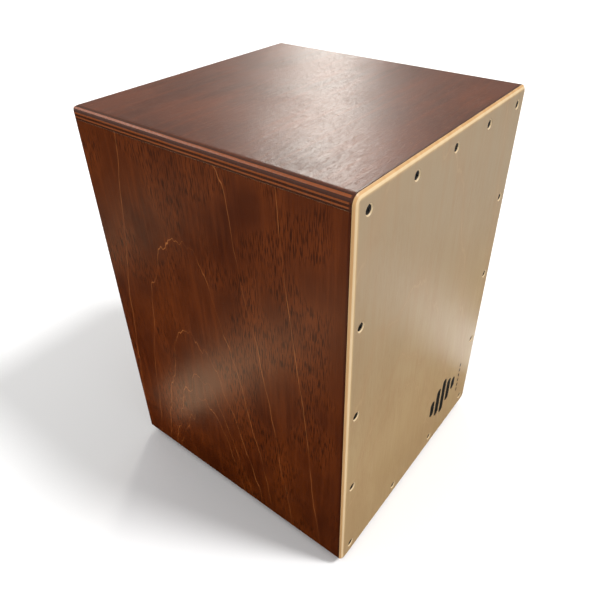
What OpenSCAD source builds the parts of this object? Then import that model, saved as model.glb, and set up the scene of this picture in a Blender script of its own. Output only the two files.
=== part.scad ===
// Cajon: a box drum with a thin playing face (the tapa) at the front, a round sound hole at the rear,
// a fixed half-set snare behind the tapa and four rubber feet.
// Frame: +Z up, origin on the floor under the middle of the box, tapa facing -Y, sound hole facing +Y.

/* [Body] */
// Width of the box across the tapa
body_w = 313; // [280:1:380]
// Height of the box without its feet
body_h = 450; // [360:1:560]
// Depth of the box from the front of the tapa to the rear
body_d = 322; // [260:1:400]
// Radius of the four long edges that run from front to rear
edge_r = 8; // [7:0.5:10]
// Radius of the edges around the rear
rear_r = 5; // [2:0.5:6]

/* [Panels] */
// Thickness of the top panel, which lies over the side panels
top_t = 12.5; // [10:0.5:20]
// Thickness of the side panels
side_t = 12; // [10:0.5:18]
// Thickness of the bottom panel, which sits between the side panels
bottom_t = 12; // [10:0.5:20]
// Thickness of the rear panel
rear_t = 5; // [3:0.5:9]
// Width of the rebate that the rear panel sits in
rebate_w = 6; // [3:0.5:7]

/* [Tapa] */
// Thickness of the tapa
tapa_t = 3.5; // [2.5:0.1:6]
// Radius of the tapa's rounded front edge
tapa_round = 6; // [2:0.5:6]
// Bevel on the tapa's rear edge, which makes the dark joint line
tapa_bevel = 0.6; // [0.2:0.1:1]

/* [Sound hole] */
// Diameter of the sound hole
sound_hole_d = 120; // [80:1:150]
// Distance from the top of the box down to the centre of the sound hole
sound_hole_drop = 165; // [130:1:210]

/* [Battens] */
// Side of the square battens behind the tapa
batten = 18; // [14:1:22]
// Leg of the triangular strips in the long corners
strip = 16; // [12:1:22]

/* [Tapa screws] */
// Screws in the top row, corners included
top_screws = 5; // [3:1:7]
// Screws in the bottom row, corners included
bottom_screws = 4; // [3:1:7]
// Screws in each side between the corners
side_screws = 3; // [1:1:5]
// Distance of the top and bottom rows into the battens, from the panels' inner faces
row_in = 4.5; // [3:0.5:9]
// Distance of the corner screws into the battens, from the side panels' inner faces
corner_in = 6; // [3:0.5:10]
// Distance of the side screws into the battens, from the side panels' inner faces
side_in = 3.5; // [3:0.5:9]
// Diameter of the screw heads
screw_head_d = 8; // [6:0.5:9]
// Diameter of the screw shanks
screw_shank_d = 4; // [3:0.5:4.5]
// Wood left between a tapa screw's tip and the rear of its batten
tip_wood = 2.5; // [1:0.5:5]
// Depth of the screw heads below the face of the tapa
head_sink = 1; // [0.2:0.1:1.2]

/* [Snare] */
// Height of the snare rail
rail_h = 26; // [24:1:36]
// Depth of the snare rail from front to rear
rail_d = 15; // [12:1:24]
// Height of the cleats under the rail
cleat_h = 20; // [14:1:24]
// Distance from the middle of the box to the middle of each snare
snare_x = 58; // [40:1:70]
// Strands in each snare
wire_count = 10; // [6:2:12]
// Outer diameter of a strand's coil
wire_d = 2; // [1.5:0.1:2.4]
// Distance between neighbouring strands
wire_pitch = 4; // [3.5:0.1:5]
// Length of a strand
wire_len = 112; // [80:1:140]
// Distance from the free tips of the strands up to the top batten
tip_gap = 17.5; // [5:0.5:30]
// Height of a snare plate
plate_h = 22; // [20:1:26]
// Thickness of a snare plate
plate_t = 1; // [0.6:0.1:1.5]

/* [Feet] */
// Diameter of a foot where it meets the box
foot_d = 30; // [24:1:40]
// Height of a foot
foot_h = 7; // [6:0.5:14]
// Inset of the feet from the outside of the box
foot_inset = 34; // [28:1:60]

/* [Fits] */
// Clearance around a screw in its hole
screw_gap = 0.1; // [0.05:0.05:0.2]
// Clearance between the strands and the tapa
wire_gap = 0.3; // [0.2:0.1:0.5]
// Clearance between the strands and the plate they are brazed to
braze_gap = 0.1; // [0.05:0.05:0.3]

/* [Hidden] */

$fn = 64;
cut = 1;

// Faces of the box
right_x = body_w / 2;
front_y = -body_d / 2;
rear_y = body_d / 2;
bottom_z = foot_h;
top_z = foot_h + body_h;
frame_y = front_y + tapa_t;
frame_d = body_d - tapa_t;

// Faces of the cavity
inner_x = right_x - side_t;
inner_bottom = bottom_z + bottom_t;
inner_top = top_z - top_t;
inner_rear = rear_y - rear_t;
batten_x = inner_x - batten;
batten_rear = frame_y + batten;

// A round edge leaves a flat of this width beside the rebate
rebate_land = 0.5;
rear_round = min(rear_r, min(side_t, min(top_t, bottom_t)) - rebate_w - rebate_land);

// The rear panel reaches this far
rear_x = inner_x + rebate_w;
rear_low = inner_bottom - rebate_w;
rear_high = inner_top + rebate_w;
sound_hole_z = top_z - sound_hole_drop;

// The tapa's round front edge meets its side at edge_depth, and starts round_w in from the side
edge_land = 0.2;
edge_depth = tapa_t - tapa_bevel - edge_land;
round_w = tapa_round < edge_depth ? tapa_round : sqrt(2 * tapa_round * edge_depth - pow(edge_depth, 2));

// Screws: the point, the countersunk head and the cross recess
tip_h = 3;
tip_d = 0.4;
screw_len = tapa_t - head_sink + batten - tip_wood;
head_h = (screw_head_d - screw_shank_d) / 2;
recess_w = 1.1;
recess_d = 1.4;
recess_span = 0.6 * screw_head_d;

// Centres of the tapa screws, as [x, z]
corner_x = inner_x - corner_in;
side_x = inner_x - side_in;
row_low = inner_bottom + row_in;
row_high = inner_top - row_in;
function step(first, last, i, steps) = first + (last - first) * i / steps;
TAPA_HOLES = concat(
    [for (i = [0:top_screws - 1]) [step(-corner_x, corner_x, i, top_screws - 1), row_high]],
    [for (i = [0:bottom_screws - 1]) [step(-corner_x, corner_x, i, bottom_screws - 1), row_low]],
    [for (s = [-1, 1], i = [1:side_screws]) [s * side_x, step(row_low, row_high, i, side_screws + 1)]]
);

// Snare, from the tapa back to the rail
wire_y = frame_y + wire_gap + wire_d / 2;
plate_y = wire_y + wire_d / 2 + braze_gap;
rail_y = plate_y + plate_t;
wire_low = inner_top - batten - tip_gap - wire_len;
wire_lap = plate_h / 2;
plate_w = wire_count * wire_pitch;
plate_low = wire_low + wire_lap - plate_h;
rail_z = plate_low + plate_h / 2;
plate_screw_inset = 6;
plate_screw_rise = 5.5;
plate_screw_x = plate_w / 2 - plate_screw_inset;
plate_screw_z = plate_low + plate_screw_rise;
plate_screw_d = 3;
plate_screw_len = 11;
plate_pilot_len = plate_screw_len + 1;
plate_head_d = 5.6;
plate_head_h = 1.4;
plate_hole_r = plate_screw_d / 2 + screw_gap;
plate_corner_r = 2;

// Rail cleats and their screws
cleat_w = batten;
cleat_low = rail_z - rail_h / 2 - cleat_h;
rail_screw_x = batten_x - cleat_w / 2;
rail_screw_y = rail_y + rail_d / 2;
rail_screw_len = cleat_h + rail_h / 2;

// Feet
foot_x = right_x - foot_inset;
foot_y = rear_y - foot_inset;
foot_taper = 2;
foot_round = 1.5;
washer_d = 13;
washer_t = 1.2;
washer_gap = 0.5;
foot_head_d = 7.5;
foot_head_h = 1.8;
foot_head_clear = 0.8;
foot_head_z = foot_head_clear + foot_head_h;
pocket_d = washer_d + 2 * washer_gap;
pocket_z = foot_head_z + washer_t;
foot_screw_d = 4;
foot_tip_wood = 2;
foot_bite = bottom_t - foot_tip_wood;
foot_screw_len = washer_t + foot_h - pocket_z + foot_bite;
foot_hole_r = foot_screw_d / 2 + screw_gap;
FEET = [for (sx = [-1, 1], sy = [-1, 1]) [sx * foot_x, sy * foot_y]];

stain = "saddlebrown";
pale = "burlywood";
pine = "tan";

// What a round edge removes from a square corner at the origin, with the body towards -X and -Y
module corner_waste(r) {
    difference() {
        translate([-r, -r]) square(r + cut);
        translate([-r, -r]) circle(r);
    }
}

// Outline of the box seen from the front
module front_outline() {
    difference() {
        translate([-right_x, bottom_z]) square([body_w, body_h]);
        for (s = [0, 1]) mirror([s, 0]) {
            translate([right_x, top_z]) corner_waste(edge_r);
            translate([right_x, bottom_z]) mirror([0, 1]) corner_waste(edge_r);
        }
    }
}

// Outline of the box behind the tapa, seen from above
module plan_outline() {
    difference() {
        translate([-right_x, frame_y]) square([body_w, frame_d]);
        for (s = [0, 1]) mirror([s, 0]) translate([right_x, rear_y]) corner_waste(rear_round);
    }
}

// Outline of the box behind the tapa, seen from the right
module side_outline() {
    difference() {
        translate([frame_y, bottom_z]) square([frame_d, body_h]);
        translate([rear_y, top_z]) corner_waste(rear_round);
        translate([rear_y, bottom_z]) mirror([0, 1]) corner_waste(rear_round);
    }
}

// Every panel is a slab cut from this solid, so the round edges run on from panel to panel
module box_blank() {
    intersection() {
        translate([0, rear_y, 0]) rotate([90, 0, 0]) linear_extrude(frame_d) front_outline();
        translate([0, 0, bottom_z]) linear_extrude(body_h) plan_outline();
        translate([-right_x, 0, 0]) rotate([90, 0, 90]) linear_extrude(body_w) side_outline();
    }
}

// The space that the rear panel takes, open to the rear
module rear_rebate() {
    translate([-rear_x, inner_rear, rear_low]) cube([2 * rear_x, rear_t + cut, rear_high - rear_low]);
}

// Puts the part that is drawn along Z, head up, at the tapa's screw holes, head to the front
module at_tapa_holes(depth) {
    for (h = TAPA_HOLES) translate([h[0], front_y + depth, h[1]]) rotate([90, 0, 0]) children();
}

// Pilot holes for the tapa screws, down to the tips of the screws
module tapa_pilots() {
    at_tapa_holes(head_sink) countersink(screw_len + screw_gap, head_sink);
}

// Countersunk screw along Z with the top of its head at z = 0 and its tip below
module countersunk_screw(length) {
    difference() {
        union() {
            translate([0, 0, -head_h]) cylinder(h = head_h, d1 = screw_shank_d, d2 = screw_head_d);
            translate([0, 0, tip_h - length]) cylinder(h = length - tip_h - head_h / 2, d = screw_shank_d);
            translate([0, 0, -length]) cylinder(h = tip_h, d1 = tip_d, d2 = screw_shank_d);
        }
        for (a = [0, 90]) rotate([0, 0, a]) translate([-recess_span / 2, -recess_w / 2, -recess_d])
            cube([recess_span, recess_w, recess_d + cut]);
    }
}

// Hole for a countersunk screw along Z, with its mouth at z = top and the screw's head at z = 0
module countersink(length, top) {
    mouth_r = screw_head_d / 2 + screw_gap;
    translate([0, 0, -head_h]) cylinder(h = head_h, r1 = mouth_r - head_h, r2 = mouth_r);
    cylinder(h = top + cut, r1 = mouth_r, r2 = mouth_r + top + cut);
    translate([0, 0, -length]) cylinder(h = length, r = screw_shank_d / 2 + screw_gap);
}

// Pan-head screw along Z with the underside of its head at z = 0 and its tip below
module pan_screw(length, d, head_d, head_t) {
    difference() {
        union() {
            cylinder(h = head_t, d = head_d);
            translate([0, 0, tip_h - length]) cylinder(h = length - tip_h, d = d);
            translate([0, 0, -length]) cylinder(h = tip_h, d1 = tip_d, d2 = d);
        }
        for (a = [0, 90]) rotate([0, 0, a]) translate([-head_d / 4, -head_t / 4, head_t / 2])
            cube([head_d / 2, head_t / 2, head_t]);
    }
}

// Half section of the tapa's edge: the front is at y = 0 and the side is at x = reach
module tapa_section(reach) {
    difference() {
        intersection() {
            square([reach, tapa_t]);
            union() {
                square([reach - round_w, tapa_t]);
                translate([reach - round_w, tapa_round]) circle(tapa_round);
            }
        }
        translate([reach, tapa_t])
            polygon([[cut, cut], [-tapa_bevel - cut, cut], [cut, -tapa_bevel - cut]]);
    }
}

// Straight edge of the tapa along Z, with its side at x = reach
module tapa_edge(reach, length) {
    translate([reach - edge_r, 0, -length / 2]) linear_extrude(length) tapa_section(edge_r);
}

// The plain plate, then its four straight edges, then its four round corners, face to face
module tapa_blank() {
    flat_w = body_w - 2 * edge_r;
    flat_h = body_h - 2 * edge_r;
    translate([0, front_y, (bottom_z + top_z) / 2]) {
        translate([-flat_w / 2, 0, -flat_h / 2]) cube([flat_w, tapa_t, flat_h]);
        for (s = [0, 1]) mirror([s, 0, 0]) tapa_edge(right_x, flat_h);
        for (s = [0, 1]) mirror([0, 0, s]) rotate([0, -90, 0]) tapa_edge(body_h / 2, flat_w);
        for (sx = [0, 1], sz = [0, 1]) mirror([sx, 0, 0]) mirror([0, 0, sz])
            translate([flat_w / 2, 0, flat_h / 2]) rotate([-90, 0, 0]) mirror([0, 1, 0])
                rotate_extrude(angle = 90) tapa_section(edge_r);
    }
}

module top_panel() {
    color(stain) difference() {
        intersection() {
            box_blank();
            translate([-right_x, front_y, inner_top]) cube([body_w, body_d, top_t]);
        }
        rear_rebate();
    }
}

module bottom_panel() {
    color(stain) difference() {
        intersection() {
            box_blank();
            translate([-inner_x, front_y, bottom_z]) cube([2 * inner_x, body_d, bottom_t]);
        }
        rear_rebate();
        for (f = FEET) translate([f[0], f[1], bottom_z - cut])
            cylinder(h = cut + foot_bite + screw_gap, r = foot_hole_r);
    }
}

module side_panel(s) {
    color(stain) difference() {
        intersection() {
            box_blank();
            translate([s > 0 ? inner_x : -right_x, front_y, bottom_z])
                cube([side_t, body_d, body_h - top_t]);
        }
        rear_rebate();
    }
}

module left_side_panel() {
    side_panel(-1);
}

module right_side_panel() {
    side_panel(1);
}

module rear_panel() {
    color(stain) difference() {
        translate([-rear_x, inner_rear, rear_low]) cube([2 * rear_x, rear_t, rear_high - rear_low]);
        translate([0, inner_rear - cut, sound_hole_z]) rotate([-90, 0, 0])
            cylinder(h = rear_t + 2 * cut, d = sound_hole_d);
    }
}

module tapa() {
    color(pale) difference() {
        tapa_blank();
        at_tapa_holes(head_sink) countersink(tapa_t + cut, head_sink);
    }
}

module tapa_screws() {
    color("black") at_tapa_holes(head_sink) countersunk_screw(screw_len);
}

// Batten across the box between the two upright battens
module cross_batten(z) {
    color(pine) difference() {
        translate([-batten_x, frame_y, z]) cube([2 * batten_x, batten, batten]);
        tapa_pilots();
    }
}

module front_top_batten() {
    cross_batten(inner_top - batten);
}

module front_bottom_batten() {
    cross_batten(inner_bottom);
}

// Upright batten along one side of the box
module side_batten(s) {
    color(pine) difference() {
        translate([s > 0 ? batten_x : -inner_x, frame_y, inner_bottom])
            cube([batten, batten, inner_top - inner_bottom]);
        tapa_pilots();
    }
}

module front_left_batten() {
    side_batten(-1);
}

module front_right_batten() {
    side_batten(1);
}

// Triangular glue strip in the corner at side sx (-1 left, 1 right) and height z, reaching in by sz
module corner_strip(sx, z, sz) {
    color(pine) translate([0, inner_rear, 0]) rotate([90, 0, 0]) linear_extrude(inner_rear - batten_rear)
        polygon([[sx * inner_x, z], [sx * (inner_x - strip), z], [sx * inner_x, z + sz * strip]]);
}

module top_left_corner_strip() {
    corner_strip(-1, inner_top, -1);
}

module top_right_corner_strip() {
    corner_strip(1, inner_top, -1);
}

module bottom_left_corner_strip() {
    corner_strip(-1, inner_bottom, 1);
}

module bottom_right_corner_strip() {
    corner_strip(1, inner_bottom, 1);
}

// Puts the part that is drawn along Z, head down, at the two rail screws
module at_rail_screws() {
    for (s = [-1, 1]) translate([s * rail_screw_x, rail_screw_y, cleat_low]) rotate([180, 0, 0]) children();
}

// Puts the part that is drawn along Z, head up, at the four snare plate screws, head to the front
module at_plate_screws() {
    for (s = [-1, 1], t = [-1, 1])
        translate([s * snare_x + t * plate_screw_x, plate_y, plate_screw_z]) rotate([90, 0, 0]) children();
}

module snare_rail() {
    color(pine) difference() {
        translate([-batten_x, rail_y, rail_z - rail_h / 2]) cube([2 * batten_x, rail_d, rail_h]);
        at_rail_screws() countersink(rail_screw_len + screw_gap, 0);
        at_plate_screws() translate([0, 0, -plate_pilot_len])
            cylinder(h = plate_pilot_len + cut, r = plate_hole_r);
    }
}

// Block glued to an upright batten, under one end of the rail
module rail_cleat(s) {
    color(pine) difference() {
        translate([s > 0 ? batten_x - cleat_w : -batten_x, rail_y, cleat_low])
            cube([cleat_w, rail_d, cleat_h]);
        at_rail_screws() countersink(rail_screw_len, 0);
    }
}

module left_rail_cleat() {
    rail_cleat(-1);
}

module right_rail_cleat() {
    rail_cleat(1);
}

module rail_screws() {
    color("gray") at_rail_screws() countersunk_screw(rail_screw_len);
}

// Steel end plate of one snare, with round lower corners
module snare_plate(s) {
    color("silver") difference() {
        translate([s * snare_x, plate_y + plate_t, plate_low]) rotate([90, 0, 0]) linear_extrude(plate_t)
            difference() {
                translate([-plate_w / 2, 0]) square([plate_w, plate_h]);
                for (m = [0, 1]) mirror([m, 0])
                    translate([plate_w / 2, 0]) mirror([0, 1]) corner_waste(plate_corner_r);
            }
        at_plate_screws() translate([0, 0, -plate_t - cut])
            cylinder(h = plate_t + 2 * cut, r = plate_hole_r);
    }
}

module left_snare_plate() {
    snare_plate(-1);
}

module right_snare_plate() {
    snare_plate(1);
}

// Strands of one snare, each the outer shape of its coil
module snare_wires(s) {
    color("gainsboro") for (i = [0:wire_count - 1])
        translate([s * snare_x + (i - (wire_count - 1) / 2) * wire_pitch, wire_y, wire_low])
            cylinder(h = wire_len, d = wire_d);
}

module left_snare_wires() {
    snare_wires(-1);
}

module right_snare_wires() {
    snare_wires(1);
}

module snare_screws() {
    color("gray") at_plate_screws() pan_screw(plate_screw_len, plate_screw_d, plate_head_d, plate_head_h);
}

// Section of a foot from its axis outwards: a taper, a round lower rim and a pocket for the washer
module foot_section() {
    low_r = foot_d / 2 - foot_taper;
    difference() {
        union() {
            translate([0, foot_round]) polygon([[0, 0], [low_r, 0], [foot_d / 2, foot_h - foot_round],
                [0, foot_h - foot_round]]);
            square([low_r - foot_round, foot_h]);
            translate([low_r - foot_round, foot_round]) circle(foot_round);
        }
        translate([-cut, -cut]) square([pocket_d / 2 + cut, pocket_z + cut]);
        translate([-cut, 0]) square([foot_hole_r + cut, foot_h + cut]);
    }
}

module foot(sx, sy) {
    color("dimgray") translate([sx * foot_x, sy * foot_y, 0]) rotate_extrude() foot_section();
}

module front_left_foot() {
    foot(-1, -1);
}

module front_right_foot() {
    foot(1, -1);
}

module rear_left_foot() {
    foot(-1, 1);
}

module rear_right_foot() {
    foot(1, 1);
}

module foot_washers() {
    color("silver") for (f = FEET) translate([f[0], f[1], foot_head_z]) difference() {
        cylinder(h = washer_t, d = washer_d);
        translate([0, 0, -cut]) cylinder(h = washer_t + 2 * cut, r = foot_hole_r);
    }
}

module foot_screws() {
    color("gray") for (f = FEET) translate([f[0], f[1], foot_head_z]) rotate([180, 0, 0])
        pan_screw(foot_screw_len, foot_screw_d, foot_head_d, foot_head_h);
}

top_panel();
bottom_panel();
left_side_panel();
right_side_panel();
rear_panel();
tapa();
tapa_screws();
front_top_batten();
front_bottom_batten();
front_left_batten();
front_right_batten();
top_left_corner_strip();
top_right_corner_strip();
bottom_left_corner_strip();
bottom_right_corner_strip();
snare_rail();
left_rail_cleat();
right_rail_cleat();
rail_screws();
left_snare_plate();
right_snare_plate();
left_snare_wires();
right_snare_wires();
snare_screws();
front_left_foot();
front_right_foot();
rear_left_foot();
rear_right_foot();
foot_washers();
foot_screws();
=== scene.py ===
"""Looks of a cajon: stained ply box, pale tapa, sunk black screws, rubber feet and a wire snare inside.

Everything is in metres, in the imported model's frame: +Z up, the tapa faces -Y and the sound hole +Y.
"""

import logging
import math
from dataclasses import dataclass
from enum import Enum
from typing import Callable, Optional, Sequence, Union

import bmesh
import bpy
from mathutils import Matrix, Vector


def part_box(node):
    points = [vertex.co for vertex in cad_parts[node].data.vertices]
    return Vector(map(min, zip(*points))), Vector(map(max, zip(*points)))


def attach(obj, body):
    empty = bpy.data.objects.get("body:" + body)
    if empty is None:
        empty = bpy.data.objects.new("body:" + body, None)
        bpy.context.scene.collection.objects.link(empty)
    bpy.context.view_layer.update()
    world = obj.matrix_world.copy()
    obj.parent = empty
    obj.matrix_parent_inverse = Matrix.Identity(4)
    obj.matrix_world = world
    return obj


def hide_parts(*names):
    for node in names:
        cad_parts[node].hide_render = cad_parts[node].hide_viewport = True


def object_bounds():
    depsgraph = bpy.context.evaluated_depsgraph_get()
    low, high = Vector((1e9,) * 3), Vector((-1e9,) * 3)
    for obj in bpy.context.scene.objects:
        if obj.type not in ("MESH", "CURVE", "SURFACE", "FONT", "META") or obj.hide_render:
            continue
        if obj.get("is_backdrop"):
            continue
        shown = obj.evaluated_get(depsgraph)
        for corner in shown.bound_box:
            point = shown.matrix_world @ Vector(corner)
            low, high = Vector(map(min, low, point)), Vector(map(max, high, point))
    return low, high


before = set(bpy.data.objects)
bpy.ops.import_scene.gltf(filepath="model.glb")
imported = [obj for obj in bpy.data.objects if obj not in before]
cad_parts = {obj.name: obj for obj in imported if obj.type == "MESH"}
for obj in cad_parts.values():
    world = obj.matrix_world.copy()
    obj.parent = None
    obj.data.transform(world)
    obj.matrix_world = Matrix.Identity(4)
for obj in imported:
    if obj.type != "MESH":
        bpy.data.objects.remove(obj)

TO_MM = 1000.0
WELD = 0.000002
SEAM_WELD = 0.0000005
BODY = "root"
log = logging.getLogger("cajon")

Spot = tuple[float, float, float]
Colour = tuple[float, float, float]
Socket = bpy.types.NodeSocket
Value = Union[float, Socket]


class Slot(Enum):
    """Material slots of the record."""

    STAINED = "stained_ply"
    TAPA = "tapa_ply"
    PINE = "raw_pine"
    BLACK = "black_steel"
    ZINC = "zinc_steel"
    SNARE = "snare_steel"
    RUBBER = "foot_rubber"


class Axis(Enum):
    """Axes of the frame, by their place in a vector."""

    X = 0
    Y = 1
    Z = 2


def tone(red: int, green: int, blue: int) -> Colour:
    """A colour as the eye names it, turned into the light values that the nodes take.

    Args:
        red: Red from 0 to 255.
        green: Green from 0 to 255.
        blue: Blue from 0 to 255.

    Returns:
        The linear colour.
    """
    def linear(part: int) -> float:
        """One channel on the linear scale."""
        share = part / 255
        return share / 12.92 if share <= 0.04045 else ((share + 0.055) / 1.055) ** 2.4

    return linear(red), linear(green), linear(blue)


# --------------------------------------------------------------------------------------------------
# Nodes
# --------------------------------------------------------------------------------------------------


class Net:
    """Writes nodes into one shader tree."""

    def __init__(self, tree: bpy.types.NodeTree) -> None:
        """Starts on an empty tree.

        Args:
            tree: The tree to write into.
        """
        self.tree = tree

    def put(self, kind: str, **settings: object) -> bpy.types.Node:
        """Adds a node.

        Args:
            kind: The node's type.
            **settings: Properties to set on it.

        Returns:
            The node.
        """
        node = self.tree.nodes.new(kind)
        for key, value in settings.items():
            setattr(node, key, value)
        return node

    def feed(self, socket: Socket, value: Union[Value, Sequence[float]]) -> None:
        """Links a socket into an input, or sets the input to a number or a vector.

        Args:
            socket: The input.
            value: What goes into it.
        """
        if isinstance(value, Socket):
            self.tree.links.new(value, socket)
        elif isinstance(value, (int, float)):
            socket.default_value = value
        elif len(value) == 3 and socket.type == "RGBA":
            socket.default_value = (*value, 1.0)
        else:
            socket.default_value = value

    def math(self, operation: str, a: Value, b: Value = 0.0, c: Value = 0.0, clamp: bool = False) -> Socket:
        """One sum on numbers.

        Args:
            operation: The Math node's operation.
            a: First number.
            b: Second number.
            c: Third number.
            clamp: Whether the result is held between 0 and 1.

        Returns:
            The result.
        """
        node = self.put("ShaderNodeMath", operation=operation, use_clamp=clamp)
        for socket, value in zip(node.inputs, (a, b, c)):
            self.feed(socket, value)
        return node.outputs[0]

    def times(self, a: Value, b: Value) -> Socket:
        """The product of two numbers."""
        return self.math("MULTIPLY", a, b)

    def over(self, a: Value, b: Value) -> Socket:
        """The first number divided by the second."""
        return self.math("DIVIDE", a, b)

    def plus(self, a: Value, b: Value) -> Socket:
        """The sum of two numbers."""
        return self.math("ADD", a, b)

    def less(self, a: Value, b: Value) -> Socket:
        """The first number less the second."""
        return self.math("SUBTRACT", a, b)

    def join(self, x: Value, y: Value, z: Value = 0.0) -> Socket:
        """Makes a vector out of three numbers.

        Args:
            x: The first number.
            y: The second number.
            z: The third number.

        Returns:
            The vector.
        """
        node = self.put("ShaderNodeCombineXYZ")
        for socket, value in zip(node.inputs, (x, y, z)):
            self.feed(socket, value)
        return node.outputs[0]

    def split(self, vector: Socket) -> tuple[Socket, Socket, Socket]:
        """The three numbers in a vector.

        Args:
            vector: The vector.

        Returns:
            Its three numbers.
        """
        node = self.put("ShaderNodeSeparateXYZ")
        self.feed(node.inputs[0], vector)
        return node.outputs[0], node.outputs[1], node.outputs[2]

    def spot(self, scale: float = 1.0) -> tuple[Socket, Socket, Socket]:
        """The shaded point's place on the object.

        Args:
            scale: What the metres are multiplied by.

        Returns:
            Its place along X, Y and Z.
        """
        spots = self.split(self.put("ShaderNodeTexCoord").outputs["Object"])
        return spots if scale == 1.0 else tuple(self.times(number, scale) for number in spots)

    def noise(self, vector: Socket, detail: float = 2.0, roughness: float = 0.5, distortion: float = 0.0) -> Socket:
        """Soft noise of about one feature per unit of the vector.

        Args:
            vector: Where it is read.
            detail: Layers of finer noise.
            roughness: Weight of the finer layers.
            distortion: How far it is pulled about.

        Returns:
            A value from 0 to 1 around 0.5.
        """
        node = self.put("ShaderNodeTexNoise", noise_dimensions="3D")
        self.feed(node.inputs["Vector"], vector)
        for name, value in (("Scale", 1.0), ("Detail", detail), ("Roughness", roughness), ("Distortion", distortion)):
            node.inputs[name].default_value = value
        return node.outputs[0]

    def grain(self, spot: Sequence[Value], lengths: Sequence[float], **how: float) -> Socket:
        """Noise with its own length along each direction.

        Args:
            spot: Where it is read, as two or three numbers.
            lengths: The length of a feature along the first ones; the rest are taken as they are.
            **how: Detail, roughness and distortion.

        Returns:
            A value from 0 to 1 around 0.5.
        """
        scaled = [self.over(number, length) for number, length in zip(spot, lengths)]
        return self.noise(self.join(*scaled, *spot[len(lengths):]), **how)

    def cells(self, vector: Socket) -> tuple[Socket, Socket]:
        """Distance to the nearest of scattered points, one per unit, and that point's own random number.

        Args:
            vector: Where it is read.

        Returns:
            The distance and the random number.
        """
        node = self.put("ShaderNodeTexVoronoi", voronoi_dimensions="3D")
        self.feed(node.inputs["Vector"], vector)
        node.inputs["Scale"].default_value = 1.0
        pick = self.put("ShaderNodeSeparateColor")
        self.feed(pick.inputs[0], node.outputs["Color"])
        return node.outputs["Distance"], pick.outputs[0]

    def span(self, value: Value, low: Value, high: Value, start: Value = 0.0, end: Value = 1.0) -> Socket:
        """Turns a range of a value smoothly into another range and holds it there.

        Args:
            value: The value.
            low: Where the result is start.
            high: Where the result is end.
            start: Result at low.
            end: Result at high.

        Returns:
            The result.
        """
        node = self.put("ShaderNodeMapRange", interpolation_type="SMOOTHSTEP", clamp=True)
        for socket, item in zip(node.inputs[:5], (value, low, high, start, end)):
            self.feed(socket, item)
        return node.outputs[0]

    def mix(self, mask: Value, a: Union[Socket, Colour], b: Union[Socket, Colour]) -> Socket:
        """Lays colour b over colour a through a mask.

        Args:
            mask: How much of b shows.
            a: The colour underneath.
            b: The colour on top.

        Returns:
            The colour.
        """
        node = self.put("ShaderNodeMix", data_type="RGBA", blend_type="MIX", clamp_factor=True)
        self.feed(node.inputs[0], mask)
        self.feed(node.inputs[6], a)
        self.feed(node.inputs[7], b)
        return node.outputs[2]

    def tint(self, mask: Value, share: Value, a: Union[Socket, Colour], b: Union[Socket, Colour]) -> Socket:
        """Lays a share of colour b over colour a through a mask.

        Args:
            mask: Where b shows.
            share: How much of it shows there.
            a: The colour underneath.
            b: The colour on top.

        Returns:
            The colour.
        """
        return self.mix(self.times(mask, share), a, b)

    def steps(self, value: Value, stops: Sequence[tuple[float, float]]) -> Socket:
        """A number that changes in steps with a value from 0 to 1.

        Args:
            value: The value.
            stops: Pairs of a place and the number from there on.

        Returns:
            The number.
        """
        node = self.put("ShaderNodeValToRGB")
        band = node.color_ramp
        band.interpolation = "LINEAR"
        soft = 0.006
        points = [(stops[0][0], stops[0][1])]
        for (_, before), (place, after) in zip(stops, stops[1:]):
            points += [(place - soft, before), (place + soft, after)]
        while len(band.elements) < len(points):
            band.elements.new(0.5)
        for element, (place, level) in zip(band.elements, points):
            element.position = place
            element.color = (level, level, level, 1.0)
        self.feed(node.inputs[0], value)
        return node.outputs[0]

    def bump(self, height: Socket, distance: float, strength: float = 1.0) -> Socket:
        """Bends the surface's normal by a height.

        Args:
            height: The height, from 0 to 1.
            distance: The real height of 1, in metres.
            strength: How much of it shows.

        Returns:
            The normal.
        """
        node = self.put("ShaderNodeBump")
        node.inputs["Strength"].default_value = strength
        node.inputs["Distance"].default_value = distance
        self.feed(node.inputs["Height"], height)
        return node.outputs[0]


def empty_material(name: str) -> tuple[bpy.types.Material, Net]:
    """Makes a material without nodes.

    Args:
        name: The material's name.

    Returns:
        The material and the writer for its tree.
    """
    made = bpy.data.materials.new(name)
    made.use_nodes = True
    made.node_tree.nodes.clear()
    return made, Net(made.node_tree)


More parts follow.
